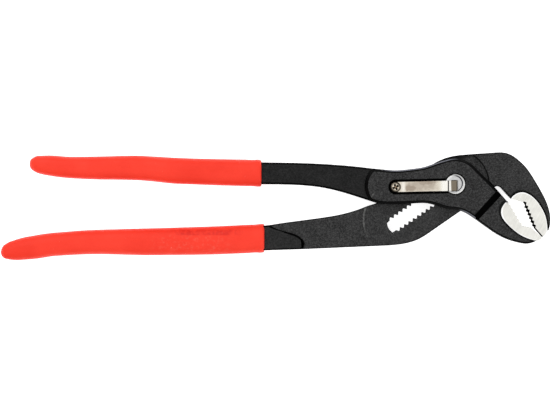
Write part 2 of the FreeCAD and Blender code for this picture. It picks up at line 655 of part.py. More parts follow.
def finish(objects):
    """Checks every object of the document, then writes one STEP file for each sub-part."""
    doc.recompute()
    for item in doc.Objects:
        if "Invalid" in item.State or "Error" in item.State:
            raise RuntimeError(f"{item.Label} is {item.State}")
    for item in objects:
        if item.Shape.isNull() or not item.Shape.isValid():
            raise RuntimeError(f"{item.Label} has no valid shape")
        item.Shape.exportStep(f"parts/{item.Label}.step")
        print(item.Label, round(item.Shape.Volume), len(item.Shape.Solids), item.Shape.BoundBox)


nose_line = lines(NOSE_TOP, NOSE_LOW)
finish([
    slot_handle(),
    grip("slot_grip", SLOT_GRIP, shank_end + shank_top + nose_line + shank_low, "shank_thick"),
    box_handle(),
    grip("box_grip", BOX_GRIP, box_shank, "neck_thick"),
    pivot_bolt(),
    bolt_ring(),
    lock_key(),
    lock_button(),
    leaf_spring(),
    spring_screw(),
])
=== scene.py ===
import bmesh
import bpy
import math
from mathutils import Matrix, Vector, noise
from mathutils.bvhtree import BVHTree


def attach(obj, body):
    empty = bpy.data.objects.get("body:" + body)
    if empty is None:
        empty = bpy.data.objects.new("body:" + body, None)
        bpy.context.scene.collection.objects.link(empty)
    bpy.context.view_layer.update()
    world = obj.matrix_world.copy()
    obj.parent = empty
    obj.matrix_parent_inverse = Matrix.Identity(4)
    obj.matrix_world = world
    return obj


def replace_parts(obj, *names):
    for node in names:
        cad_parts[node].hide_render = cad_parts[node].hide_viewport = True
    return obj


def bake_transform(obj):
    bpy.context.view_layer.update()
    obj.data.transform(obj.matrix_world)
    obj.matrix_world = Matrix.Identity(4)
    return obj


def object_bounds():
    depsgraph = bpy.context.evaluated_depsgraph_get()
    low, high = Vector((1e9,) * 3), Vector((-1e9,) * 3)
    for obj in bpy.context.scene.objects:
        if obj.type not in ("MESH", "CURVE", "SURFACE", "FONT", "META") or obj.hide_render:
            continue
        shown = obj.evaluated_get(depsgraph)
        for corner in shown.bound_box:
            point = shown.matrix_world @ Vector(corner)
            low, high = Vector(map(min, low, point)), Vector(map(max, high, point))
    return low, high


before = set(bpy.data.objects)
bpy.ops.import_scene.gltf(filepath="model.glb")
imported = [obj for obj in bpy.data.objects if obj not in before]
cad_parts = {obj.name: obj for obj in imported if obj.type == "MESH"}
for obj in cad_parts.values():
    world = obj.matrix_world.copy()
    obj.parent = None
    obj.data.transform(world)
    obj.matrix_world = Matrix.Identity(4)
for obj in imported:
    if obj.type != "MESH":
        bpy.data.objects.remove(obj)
cad_low, cad_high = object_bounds()

MM = 0.001
MIDDLE = 7.5  # height of the tool's middle plane, mm
SCREW_AT = Vector((-32.4, -1.6))  # the spring's screw, mm
scene = bpy.context.scene
scene.view_settings.view_transform = "Standard"

# ---------------------------------------------------------------- camera, light and floor
CAMERA_AT = (-0.0981, -0.0122)
CAMERA_HEIGHT = 1.8  # above the middle plane, m
FIELD_WIDTH = 0.3005  # seen at that plane, m
SENSOR_WIDTH = 36.0
camera_data = bpy.data.cameras.new("camera")
camera_data.sensor_width = SENSOR_WIDTH
camera_data.lens = SENSOR_WIDTH * CAMERA_HEIGHT / FIELD_WIDTH
camera_data.clip_start, camera_data.clip_end = 0.05, 20.0
camera = bpy.data.objects.new("camera", camera_data)
camera.location = (*CAMERA_AT, CAMERA_HEIGHT + MIDDLE * MM)
scene.collection.objects.link(camera)
scene.camera = camera

world = bpy.data.worlds.new("studio")
scene.world = world
world.use_nodes = True
sky = world.node_tree
direction = sky.nodes.new("ShaderNodeTexCoord")
split = sky.nodes.new("ShaderNodeSeparateXYZ")
fade = sky.nodes.new("ShaderNodeValToRGB")
sky.links.new(direction.outputs["Generated"], split.inputs[0])
sky.links.new(split.outputs["Z"], fade.inputs["Fac"])
sky.links.new(fade.outputs["Color"], sky.nodes["Background"].inputs["Color"])
fade.color_ramp.elements[0].position = 0.0
fade.color_ramp.elements[0].color = (0.30, 0.30, 0.32, 1)
fade.color_ramp.elements[1].position = 0.92
fade.color_ramp.elements[1].color = (1.0, 1.0, 1.0, 1)
middle_stop = fade.color_ramp.elements.new(0.55)
middle_stop.color = (0.62, 0.62, 0.63, 1)


def area_light(name, place, aim, size, power):
    """A soft square light at place, turned towards aim."""
    data = bpy.data.lights.new(name, "AREA")
    data.size = size
    data.energy = power
    light = bpy.data.objects.new(name, data)
    light.location = place
    light.rotation_mode = "QUATERNION"
    light.rotation_quaternion = (Vector(aim) - Vector(place)).to_track_quat("-Z", "Y")
    scene.collection.objects.link(light)


area_light("key_light", (-1.0, 1.0, 1.5), (-0.1, 0, 0), 1.8, 16)
area_light("fill_light", (1.0, -0.9, 1.6), (-0.1, 0, 0), 1.8, 9)


# ---------------------------------------------------------------- materials
class Surface:
    """A procedural material: its shader, and short ways to add the nodes that feed it."""

    def __init__(self, name, metallic=0.0, specular=0.5):
        self.material = bpy.data.materials.new(name)
        self.material.use_nodes = True
        self.tree = self.material.node_tree
        self.shader = self.tree.nodes["Principled BSDF"]
        self.shader.inputs["Metallic"].default_value = metallic
        self.shader.inputs["Specular IOR Level"].default_value = specular
        self.place = self.node("ShaderNodeTexCoord").outputs["Object"]

    def node(self, kind, **inputs):
        made = self.tree.nodes.new(kind)
        for name, value in inputs.items():
            self.feed(made.inputs[name], value)
        return made

    def feed(self, socket, value):
        if isinstance(value, bpy.types.NodeSocket):
            self.tree.links.new(value, socket)
        else:
            socket.default_value = value

    def stretched(self, turn, times):
        """Coordinates that draw a texture out along a direction in degrees, a number of times its size."""
        made = self.node("ShaderNodeMapping", Vector=self.place)
        made.vector_type = "TEXTURE"
        made.inputs["Rotation"].default_value = (0, 0, math.radians(turn))
        made.inputs["Scale"].default_value = (times, 1, 1)
        return made.outputs["Vector"]

    def noise(self, size, detail=3.0, rough=0.55, at=None):
        """Noise with features of a size in millimetres."""
        made = self.node("ShaderNodeTexNoise", Vector=at or self.place)
        made.inputs["Scale"].default_value = 1.0 / (size * MM)
        made.inputs["Detail"].default_value = detail
        made.inputs["Roughness"].default_value = rough
        return made.outputs["Fac"]

    def remap(self, value, low, high, to_low=0.0, to_high=1.0):
        made = self.node("ShaderNodeMapRange", Value=value)
        made.inputs["From Min"].default_value = low
        made.inputs["From Max"].default_value = high
        made.inputs["To Min"].default_value = to_low
        made.inputs["To Max"].default_value = to_high
        return made.outputs["Result"]

    def math(self, kind, a, b=0.0):
        made = self.tree.nodes.new("ShaderNodeMath")
        made.operation = kind
        self.feed(made.inputs[0], a)
        self.feed(made.inputs[1], b)
        return made.outputs[0]

    def mix(self, share, a, b):
        """A colour between a and b."""
        made = self.tree.nodes.new("ShaderNodeMix")
        made.data_type = "RGBA"
        self.feed(made.inputs["Factor"], share)
        for socket, colour in ((made.inputs[6], a), (made.inputs[7], b)):
            self.feed(socket, (*colour, 1) if isinstance(colour, tuple) else colour)
        return made.outputs[2]

    def axis(self, letter):
        """One coordinate, in millimetres."""
        made = self.node("ShaderNodeSeparateXYZ", Vector=self.place)
        return self.math("DIVIDE", made.outputs[letter], MM)

    def band(self, value, low, high, soft):
        """1 between low and high, fading to 0 over soft outside."""
        rise = self.remap(value, low - soft, low)
        fall = self.remap(value, high, high + soft, 1.0, 0.0)
        return self.math("MULTIPLY", rise, fall)

    def away(self, centre, radii=(1.0, 1.0), turn=0.0):
        """Distance in the plane from a centre in millimetres, as a share of an ellipse's turned radii."""
        c, s = math.cos(math.radians(turn)), math.sin(math.radians(turn))
        x = self.math("SUBTRACT", self.axis("X"), centre[0])
        y = self.math("SUBTRACT", self.axis("Y"), centre[1])
        along = self.math("ADD", self.math("MULTIPLY", x, c / radii[0]),
                          self.math("MULTIPLY", y, s / radii[0]))
        across = self.math("SUBTRACT", self.math("MULTIPLY", y, c / radii[1]),
                           self.math("MULTIPLY", x, s / radii[1]))
        square = self.math("ADD", self.math("MULTIPLY", along, along),
                           self.math("MULTIPLY", across, across))
        return self.math("SQRT", square)

    def spot(self, centre, radii, strength, ragged):
        """A soft patch of a strength round a centre, its edge made uneven by the noise ragged."""
        far = self.math("ADD", self.away(centre, radii), ragged)
        return self.remap(far, 0.75, 1.7, strength, 0.0)

    def bump(self, height, depth):
        """Bump from a height in 0 to 1 that stands for a depth in millimetres."""
        made = self.node("ShaderNodeBump", Height=height)
        made.inputs["Distance"].default_value = depth * MM
        self.tree.links.new(made.outputs["Normal"], self.shader.inputs["Normal"])

    def finish(self, colour, roughness):
        self.feed(self.shader.inputs["Base Color"], colour)
        self.feed(self.shader.inputs["Roughness"], roughness)
        return self.material


# the bright ovals of the hook and of the lower jaw, as ellipses: centre and radii in mm, turn in degrees
HOOK_OVAL = ((39.86, -19.38), (15.8, 9.59), -67.8)
JAW_OVAL = ((42.37, -19.88), (18.52, 10.03), -24.7)
# painted shade at the top of the tongue, beside the box, where its rounded edge turns away from the light
SHADE = ((0.5, 15.5), (11.0, 2.1), 8.0)
# the low ridge across the slot handle, worn bright near its upper end: centre and radius in mm
RIDGE_ARC = ((-29.05, -19.5), 20.75)
SCUFF_GREY = (0.11, 0.11, 0.108)
# tint of the painted highlight along the chamfer's low edge
PAINTED_SHEEN_TINT = (0.165, 0.168, 0.195)
# black of the painted shade
PAINTED_SHADE_BLACK = (0.001, 0.001, 0.001)
WORN_GREY = (0.15, 0.15, 0.145)


def black_steel(name, dark, light, specular, rough, sheen=False, oval=None):
    """Black finish on forged steel: fine speckle, soft mottling, small pale scuffs and a pitted bump.

    sheen adds a painted violet-blue highlight along the low edge of the box's front chamfer. oval gives the
    ellipse that has a painted black shade line round it, and brings the painted shade patch beside the box
    and the worn arc of the ridge with it.
    """
    s = Surface(name, specular=specular)
    speckle = s.remap(s.noise(0.55, 2.0, 0.6), 0.44, 0.62)
    grain = s.remap(s.noise(0.9, 3.0, 0.7), 0.47, 0.58)
    mottle = s.remap(s.noise(9.0, 3.0), 0.35, 0.68)
    tone = s.math("ADD", s.math("MULTIPLY", speckle, 0.48), s.math("MULTIPLY", grain, 0.36))
    tone = s.math("ADD", tone, s.math("MULTIPLY", mottle, 0.16))
    colour = s.mix(tone, (dark, dark, dark), (light, light, light))
    scuff = s.remap(s.noise(1.1, 5.0, 0.75), 0.70, 0.80)
    where = s.remap(s.noise(16.0, 2.0), 0.52, 0.66)
    scuffed = s.math("MULTIPLY", s.math("MULTIPLY", scuff, where), 0.55)
    colour = s.mix(scuffed, colour, SCUFF_GREY)
    # painted highlight: a violet-blue reflection along the low edge of the front chamfer
    if sheen:
        x, y, z = s.axis("X"), s.axis("Y"), s.axis("Z")
        upper = s.math("MULTIPLY", s.band(x, -34, -4, 6), s.remap(y, 2, 4))
        lower = s.math("MULTIPLY", s.band(x, 6, 20, 4), s.remap(y, -8, -10))
        low_edge = s.band(z, 13.4, 14.3, 0.12)
        tint = s.math("MULTIPLY", s.math("ADD", upper, lower), low_edge)
        colour = s.mix(s.math("MULTIPLY", tint, 0.9), colour, PAINTED_SHEEN_TINT)
    # painted shade: a black line just outside the oval where the edge rounds down to it, and the shade patch
    if oval:
        line = s.remap(s.away(*oval), 1.055, 1.095, 1.0, 0.0)
        line = s.math("MAXIMUM", line, s.remap(s.away(*SHADE), 0.75, 1.35, 0.9, 0.0))
        colour = s.mix(line, colour, PAINTED_SHADE_BLACK)
        ridge_centre, ridge_radius = RIDGE_ARC
        reach = s.away(ridge_centre)
        worn = s.band(reach, ridge_radius - 0.2, ridge_radius + 0.2, 0.4)
        worn = s.math("MULTIPLY", worn, s.remap(s.axis("X"), -43, -46))
        worn = s.math("MULTIPLY", worn, s.remap(s.axis("Y"), -30, -21, 0.1, 0.75))
        worn = s.math("MULTIPLY", worn, s.remap(grain, 0.0, 1.0, 0.5, 1.0))
        colour = s.mix(worn, colour, WORN_GREY)
    s.bump(s.math("ADD", s.noise(0.35, 3.0, 0.65), s.math("MULTIPLY", s.noise(2.6, 3.0), 0.8)), 0.035)
    return s.finish(colour, s.remap(s.noise(3.0, 3.0), 0.3, 0.7, rough - 0.07, rough + 0.08))


def ground_steel(name, turn, base, rough, oval):
    """Bright ground steel with fine lines along one direction, cloudy patches and a painted highlight at its
    rim.
    """
    s = Surface(name, metallic=1.0)
    lines = s.noise(0.6, 4.0, 0.7, at=s.stretched(turn, 14))
    clouds = s.noise(5.0, 3.0)
    tone = s.math("ADD", s.math("MULTIPLY", lines, 0.6), s.math("MULTIPLY", clouds, 0.4))
    tint = s.remap(tone, 0.38, 0.62)
    dark = tuple(0.85 * value for value in base)
    pit = s.remap(s.noise(0.7, 4.0, 0.7), 0.72, 0.80)
    colour = s.mix(s.math("MULTIPLY", pit, 0.35), s.mix(tint, dark, base), (0.45, 0.44, 0.42))
    # painted highlight: a bright line just inside the oval's edge, where the ground face rounds over
    colour = s.mix(s.remap(s.away(*oval), 0.94, 0.965), colour, (0.97, 0.97, 0.965))
    s.bump(lines, 0.006)
    return s.finish(colour, s.remap(tone, 0.35, 0.65, rough, rough + 0.12))


def red_dip():
    """Dipped red vinyl: satin, with a faint orange-peel surface, rubbed patches and small pale marks."""
    s = Surface("red_dip", specular=0.16)
    broad = s.remap(s.noise(22.0, 3.0), 0.35, 0.65)
    colour = s.mix(broad, (0.860, 0.037, 0.017), (0.925, 0.048, 0.024))
    fine = s.remap(s.noise(0.8, 3.0, 0.7), 0.35, 0.65)
    colour = s.mix(s.math("MULTIPLY", fine, 0.16), colour, (0.76, 0.024, 0.011))
    x, y, z = s.axis("X"), s.axis("Y"), s.axis("Z")
    top = s.remap(z, 10.5, 12.5)
    pale_at = s.math("MULTIPLY", s.band(x, -158, -128, 9), s.band(y, -35.5, -29, 2))
    pale = s.remap(s.noise(2.4, 6.0, 0.72), 0.50, 0.72)
    pale = s.math("MULTIPLY", s.math("MULTIPLY", pale, pale_at), s.math("MULTIPLY", top, 0.55))
    colour = s.mix(pale, colour, (0.86, 0.13, 0.09))
    rub_at = s.math("MULTIPLY", s.band(x, -150, -122, 7), s.band(y, -27.4, -25.3, 0.9))
    rub = s.math("MULTIPLY", rub_at, s.remap(s.noise(3.2, 4.0), 0.34, 0.6))
    rubbed = s.math("MULTIPLY", s.math("MULTIPLY", rub, top), 0.75)
    colour = s.mix(rubbed, colour, (0.66, 0.014, 0.008))
    nick = s.remap(s.noise(1.0, 2.0, 0.5), 0.745, 0.77)
    nick = s.math("MULTIPLY", nick, s.remap(s.noise(13.0, 2.0), 0.50, 0.56))
    colour = s.mix(s.math("MULTIPLY", nick, 0.6), colour, (0.95, 0.34, 0.28))
    peel = s.math("ADD", s.noise(0.9, 2.0), s.math("MULTIPLY", s.noise(5.0, 2.0), 1.4))
    s.bump(peel, 0.05)
    rough = s.remap(s.noise(4.0, 3.0), 0.3, 0.7, 0.42, 0.54)
    return s.finish(colour, s.math("SUBTRACT", rough, s.math("MULTIPLY", rubbed, 0.14)))


# darker brown patches on the spring, mm: centre, radii, strength
LEAF_DARK_PATCHES = (((-16.0, 1.2), (4.6, 1.7), 0.95), ((-24.6, -2.3), (2.8, 1.5), 1.0),
               ((-19.6, -0.9), (7.0, 2.4), 0.70))
# tones across the spring: from, to and fade along X in mm, colour. Two glints, then the shadow in the crease
LEAF_BANDS = ((-6.8, -4.4, 2.0, (0.88, 0.86, 0.80)), (-28.6, -27.9, 1.2, (0.80, 0.76, 0.68)),
              (-4.04, -3.54, 0.14, (0.02, 0.019, 0.018)))


def leaf_steel(name, light, patch_tone, rough):
    """Tempered spring strip: warm bright steel with drawn lines along it and darker brown patches.

    The bands add painted glints and the painted shadow in the crease; the tip is painted darker, as shade.
    """
    s = Surface(name, metallic=1.0)
    x = s.axis("X")
    drawn = s.noise(0.5, 3.0, 0.6, at=s.stretched(1.3, 25))
    ragged = s.remap(s.noise(2.6, 4.0, 0.6), 0.3, 0.7, -0.45, 0.45)
    patched = s.spot(*LEAF_DARK_PATCHES[0], ragged)
    for patch in LEAF_DARK_PATCHES[1:]:
        patched = s.math("MAXIMUM", patched, s.spot(*patch, ragged))
    faint = s.remap(s.noise(3.4, 3.0), 0.42, 0.68, 0.0, 0.16)
    share = s.math("MINIMUM", s.math("ADD", patched, faint), 1.0)
    colour = s.mix(share, light, patch_tone)
    colour = s.mix(s.remap(drawn, 0.42, 0.62, 0.0, 0.12), colour, tuple(0.7 * value for value in light))
    for start, end, soft, tone in LEAF_BANDS:
        colour = s.mix(s.band(x, start, end, soft), colour, tone)
    # painted shadow: the tip darkens where it dips into the button's pocket
    colour = s.mix(s.remap(x, 0.55, 0.95), colour, (0.03, 0.026, 0.022))
    s.bump(s.math("ADD", drawn, s.math("MULTIPLY", s.noise(1.4, 3.0), 0.7)), 0.008)
    return s.finish(colour, s.remap(share, 0.0, 1.0, rough, rough + 0.16))


def turned_steel(name, light, dark, rough, centre=(0.0, 0.0), outer=None, step_shadow=None):
    """Steel with fine turning rings about a centre in millimetres, and specks of tarnish.

    outer is (from radius, to radius, colour) for a painted shade that darkens towards the edge.
    step_shadow is (radius, colour) of a painted shadow line on the right side, at a raised land's edge.
    """
    s = Surface(name, metallic=1.0)
    radius = s.away(centre)
    rings = s.math("SINE", s.math("ADD", s.math("MULTIPLY", radius, 21.0), s.noise(2.0, 2.0)))
    ring_tone = s.remap(rings, -1.0, 1.0)
    tarnish = s.remap(s.noise(1.5, 4.0, 0.65), 0.42, 0.70)
    share = s.math("ADD", s.math("MULTIPLY", ring_tone, 0.16), s.math("MULTIPLY", tarnish, 0.45))
    colour = s.mix(share, light, dark)
    # painted shade, darkening towards the edge
    if outer:
        colour = s.mix(s.remap(radius, outer[0], outer[1]), colour, outer[2])
    # painted shadow of the land's step, on the right side only
    if step_shadow:
        line = s.band(radius, step_shadow[0] - 0.22, step_shadow[0] + 0.22, 0.14)
        line = s.math("MULTIPLY", line, s.remap(s.axis("X"), -1.2, 1.0))
        colour = s.mix(line, colour, step_shadow[1])
    s.bump(ring_tone, 0.004)
    return s.finish(colour, s.remap(tarnish, 0.0, 1.0, rough, rough + 0.15))


FACE_BLACK = black_steel("black_face", 0.006, 0.063, 0.10, 0.46, oval=HOOK_OVAL)
BOX_BLACK = black_steel("black_box", 0.006, 0.061, 0.10, 0.46, oval=JAW_OVAL)
NOSE_BLACK = black_steel("black_nose", 0.002, 0.025, 0.16, 0.44)
HANDLE_BLACK = black_steel("black_handle", 0.001, 0.020, 0.12, 0.42)
# EDGE_BLACK, BREAK_BLACK and SLOPE_BLACK are near-black copies of the finish: painted shade on rounded edges,
# chamfers, slopes, tooth walls and recess walls that turn away from the light
EDGE_BLACK = black_steel("black_edge", 0.0006, 0.002, 0.01, 0.34)
BREAK_BLACK = black_steel("black_break", 0.001, 0.003, 0.05, 0.36, sheen=True)
SLOPE_BLACK = black_steel("black_slope", 0.001, 0.002, 0.0, 0.40)
WORN_EDGE = black_steel("worn_ridge", 0.030, 0.085, 0.35, 0.36)
GRINDING_TURN = 62  # direction of the grinding lines, degrees
GROUND_TONE = (0.790, 0.782, 0.735)
HOOK_STEEL = ground_steel("hook_ground_steel", GRINDING_TURN, GROUND_TONE, 0.30, HOOK_OVAL)
JAW_STEEL = ground_steel("jaw_ground_steel", GRINDING_TURN, GROUND_TONE, 0.30, JAW_OVAL)
RED = red_dip()
LEAF = leaf_steel("leaf_steel", (0.735, 0.682, 0.578), (0.330, 0.275, 0.220), 0.26)
# painted highlight: a lighter copy of the spring steel for the level crest, as it catches the light
LEAF_CREST = leaf_steel("leaf_crest_steel", (0.860, 0.840, 0.790), (0.620, 0.560, 0.480), 0.22)
# painted shade: a dark copy of the spring steel for the toe bent down into the button's pocket
LEAF_TOE = leaf_steel("leaf_toe_steel", (0.185, 0.158, 0.120), (0.125, 0.102, 0.074), 0.30)
# painted shade: the domed head darkens towards its rounded edge
SCREW = turned_steel("screw_nickel", (0.820, 0.740, 0.600), (0.420, 0.345, 0.255), 0.26, SCREW_AT,
                     outer=(1.20, 2.15, (0.085, 0.072, 0.055)))
# painted shade: a dark copy of the screw steel for the cross recess, near black towards the arms' ends
SCREW_RECESS = turned_steel("screw_recess", (0.230, 0.170, 0.110), (0.120, 0.085, 0.055), 0.50, SCREW_AT,
                            outer=(0.35, 0.85, (0.008, 0.006, 0.005)))
# step_shadow paints the shadow line at the edge of the button's raised land
BUTTON = turned_steel("button_steel", (0.570, 0.570, 0.565), (0.360, 0.360, 0.355), 0.32,
                      (-0.44, 0.27), step_shadow=(4.28, (0.020, 0.020, 0.030)))
# painted highlight: a lighter copy of the button steel for its rim, lower ledge and rounded edges
BUTTON_RIM = turned_steel("button_rim", (0.640, 0.640, 0.630), (0.430, 0.430, 0.420), 0.26)
# dark steel for the key; on the button it is the painted shade in the toe's pocket and below the cheek
DARK_STEEL_AND_SHADE = turned_steel("dark_steel_and_shade", (0.300, 0.290, 0.270), (0.110, 0.100, 0.088), 0.34)
# painted shade: the bolt is near black so that the gap round the button reads as shadow
BOLT_STEEL = turned_steel("bolt_steel", (0.090, 0.086, 0.080), (0.030, 0.028, 0.025), 0.36)
RING_STEEL = turned_steel("ring_steel", (0.200, 0.195, 0.185), (0.070, 0.066, 0.062), 0.36)

# floor: a pale sheet that glows a little, so that it reads as a lit white table
floor_surface = Surface("floor", specular=0.2)
floor_tone = floor_surface.remap(floor_surface.noise(400.0, 2.0), 0.3, 0.7)
floor_colour = floor_surface.mix(floor_tone, (0.86, 0.86, 0.86), (0.90, 0.90, 0.90))
floor_surface.shader.inputs["Emission Color"].default_value = (1, 1, 1, 1)
floor_surface.shader.inputs["Emission Strength"].default_value = 0.80
FLOOR = floor_surface.finish(floor_colour, 0.9)


# ---------------------------------------------------------------- mesh helpers
def mesh_object(name, mesh, materials):
    """A new object of the scene, with its materials."""
    made = bpy.data.objects.new(name, mesh)
    for material in materials:
        mesh.materials.append(material)
    scene.collection.objects.link(made)
    return made


def as_mesh(name, bm):
    bmesh.ops.recalc_face_normals(bm, faces=bm.faces)
    mesh = bpy.data.meshes.new(name)
    bm.to_mesh(mesh)
    bm.free()
    return mesh


def sweep(bm, rings):
    """Smooth faces from each ring to the next, and a cap at each end."""
    for one, other in zip(rings, rings[1:]):
        for k in range(len(one)):
            j = (k + 1) % len(one)
            bm.faces.new((one[k], one[j], other[j], other[k]))
    bm.faces.new(rings[0])
    bm.faces.new(rings[-1])
    for face in bm.faces:
        face.smooth = True


def apply_modifiers(made):
    """Turns an object's modifiers into its mesh, which is returned."""
    mesh = bpy.data.meshes.new_from_object(made.evaluated_get(bpy.context.evaluated_depsgraph_get()))
    made.modifiers.clear()
    made.data = mesh
    return mesh


def floor_sheet():
    bm = bmesh.new()
    bmesh.ops.create_grid(bm, x_segments=8, y_segments=8, size=4.0)
    bmesh.ops.translate(bm, vec=(0, 0, cad_low.z - 0.0002), verts=bm.verts)
    mesh_object("floor", as_mesh("floor", bm), [FLOOR])


SHARP_BEND = math.radians(24)  # an edge that bends less is shaded smooth and never rounded


def detailed(node, materials, kind_of, round_of, edge_slot, reshape=None):
    """The node's shape with rounded edges. kind_of picks a face's material from its centre and normal, in mm.

    round_of gives an edge's rounding in mm from its middle; edge_slot is the material of the rounded edges.
    reshape may move vertices first.
    """
    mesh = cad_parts[node].data.copy()
    mesh.materials.clear()
    bm = bmesh.new()
    bm.from_mesh(mesh)
    bmesh.ops.remove_doubles(bm, verts=bm.verts, dist=0.002 * MM)
    if reshape:
        reshape(bm)
    bmesh.ops.dissolve_limit(bm, angle_limit=math.radians(0.4), verts=bm.verts, edges=bm.edges)
    bmesh.ops.remove_doubles(bm, verts=bm.verts, dist=0.03 * MM)
    bm.normal_update()
    bmesh.ops.connect_verts_concave(bm, faces=bm.faces)
    bm.normal_update()
    for face in bm.faces:
        face.material_index = kind_of(face.calc_center_median() / MM, face.normal)
        face.smooth = True
    weight = bm.edges.layers.float.new("bevel_weight_edge")
    for edge in bm.edges:
        bend = edge.calc_face_angle(0.0)
        middle = (edge.verts[0].co + edge.verts[1].co) / 2 / MM
        amount = round_of(middle, edge) if bend > SHARP_BEND else 0.0
        edge[weight] = amount
        edge.smooth = bend < SHARP_BEND or amount > 0
    sharp_shape = BVHTree.FromBMesh(bm)
    bm.to_mesh(mesh)
    bm.free()
    made = mesh_object(f"{node}_detailed", mesh, materials)
    bevel = made.modifiers.new("rounded_edges", "BEVEL")
    bevel.width = MM
    bevel.limit_method = "WEIGHT"
    bevel.offset_type = "OFFSET"
    bevel.segments = 2
    bevel.use_clamp_overlap = False
    # rounded edges take edge_slot; for the forgings this is the painted shade copy of the finish
    bevel.material = edge_slot
    for vert in apply_modifiers(made).vertices:
        # a corner too sharp for its rounding is drawn back onto the surface
        spot, normal = sharp_shape.find_nearest(vert.co)[:2]
        if (vert.co - spot).dot(normal) > 0.01 * MM:
            vert.co = spot
    flatter = made.modifiers.new("flat_faces", "WEIGHTED_NORMAL")
    flatter.keep_sharp = True
    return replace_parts(made, node)


def keep(node, material):
    """Gives a CAD node its material and smooth shading."""
    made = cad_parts[node]
    made.data.materials.clear()
    made.data.materials.append(material)
    made.data.polygons.foreach_set("use_smooth", [True] * len(made.data.polygons))
    made.data.set_sharp_from_angle(angle=math.radians(28))


# ---------------------------------------------------------------- the two forgings
FACE, HANDLE, NOSE, EDGE, BREAK, SLOPE, GROUND, RIDGE = range(8)
FORGED = [FACE_BLACK, HANDLE_BLACK, NOSE_BLACK, EDGE_BLACK, BREAK_BLACK, SLOPE_BLACK, HOOK_STEEL, WORN_EDGE]
BOX_FORGED = [BOX_BLACK] + FORGED[1:GROUND] + [JAW_STEEL]
GROUND_DEPTH = 4.3  # from the middle plane to the bright ovals, mm
GROUND_LEVELS = (4.2, 4.5)  # depths that count as the ovals' when edges are rounded
SLOT_TURN = math.radians(34.5)

# places in plan, mm: along X, along Y
HOOK_ROOF = ((30, 37.8), (-10.2, -5))
HOOK_GROOVES = ((37.7, 43.9), (-23.7, -9.9))
JAWS_MEET = ((44, 47.5), (-28, -24))
SHOULDER = ((8, 21.5), (-2, 15.3))
RIDGE_SPAN = ((-51, -44), (-33.4, -12.6))
RECESS = ((-37, 1), (-6, 3))

# rounding, mm
RIM = 0.46  # the slot handle's outline
SHANK_ROUND = 0.85  # behind its nose
TEETH_ROUND = 0.36  # the hook's ground teeth
MEET_ROUND = 0.12  # where the jaws touch
OVAL_ROUND = 0.16  # the inner corner round an oval
FINE_ROUND = 0.2  # everything else

# the hook's grooves slant across the jaw by nearly half a pitch, which the CAD's don't: height of their far
# ends, and how far those ends move, mm
GROOVE_END = 3.2
GROOVE_SLANT = Vector((-0.05, -1.08, 0))


def inside(p, place):
    (left, right), (near, far) = place
    return left < p.x < right and near < p.y < far


def is_ground(p):
    """True on the bright ovals of the jaws."""
    return abs(abs(p.z - MIDDLE) - GROUND_DEPTH) < 0.05 and p.x > 20


def at_hook_teeth(p):
    return 36 < p.x < 38.6 + 0.42 * (-p.y - 9.5) and p.y < -9.6


def slot_kind(p, normal):
    depth = abs(p.z - MIDDLE)
    if abs(normal.z) < 0.5:
        if inside(p, HOOK_ROOF) and depth < GROUND_DEPTH:
            return GROUND
        # the hook's tooth walls take the painted shade copy
        if at_hook_teeth(p):
            return SLOPE
        on_ridge = 2.85 < depth < 3.1 and -52 < p.x < -42
        return RIDGE if on_ridge else HANDLE
    if is_ground(p):
        return GROUND
    return NOSE if depth > 4 and p.x < -80 else FACE


def box_kind(p, normal):
    level = abs(normal.z)
    # painted shade: the walls of the spring's recess take the near-black copy
    if 12.9 < p.z < 14.99 and inside(p, RECESS):
        return SLOPE
    if level < 0.5:
        return HANDLE
    if is_ground(p):
        return GROUND
    # the neck's slope facing away from the light takes the painted shade copy; other chamfers the shade and
    # sheen one
    if level < 0.95:
        return SLOPE if p.x > 11 and p.y > -21 and level > 0.72 else BREAK
    return FACE if p.x > -47 else HANDLE


def is_level(edge):
    return abs(edge.verts[0].co.z - edge.verts[1].co.z) < 0.01 * MM


def in_slot(p):
    """True at the toothed edges of the slot, which runs through the pivot."""
    along = p.x * math.cos(SLOT_TURN) + p.y * math.sin(SLOT_TURN)
    across = p.y * math.cos(SLOT_TURN) - p.x * math.sin(SLOT_TURN)
    return abs(across) < 8 and -50 < along < 14


def slot_round(p, edge):
    """Rounds the outline most. The slot's inner walls, upright edges and the ridge stay sharp."""
    depth = abs(p.z - MIDDLE)
    if not is_level(edge) or depth < 2.7:
        return 0.0
    if depth > 4.7 and p.x < -70:
        return SHANK_ROUND
    if GROUND_LEVELS[0] < depth < GROUND_LEVELS[1]:
        if not edge.is_convex:
            return OVAL_ROUND
        return TEETH_ROUND if at_hook_teeth(p) else MEET_ROUND if inside(p, JAWS_MEET) else 0.0
    if depth < 3.2 and inside(p, RIDGE_SPAN):
        return 0.0
    return FINE_ROUND if in_slot(p) or inside(p, SHOULDER) or not edge.is_convex else RIM


def box_round(p, edge):
    """Rounds the box evenly. Its inside, its upright edges and the rims of the oval stay sharp."""
    depth = abs(p.z - MIDDLE)
    if not is_level(edge) or depth < 3.2:
        return 0.0
    if GROUND_LEVELS[0] < depth < GROUND_LEVELS[1]:
        return 0.0 if edge.is_convex else OVAL_ROUND
    return FINE_ROUND


def slant_grooves(bm):
    for vert in bm.verts:
        p = vert.co / MM
        if abs(p.z - GROOVE_END) < 0.05 and inside(p, HOOK_GROOVES):
            vert.co += GROOVE_SLANT * MM


slot_handle = detailed("slot_handle", FORGED, slot_kind, slot_round, EDGE, slant_grooves)
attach(slot_handle, "slot_side")
box_handle = detailed("box_handle", BOX_FORGED, box_kind, box_round, EDGE)
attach(box_handle, "box_side")


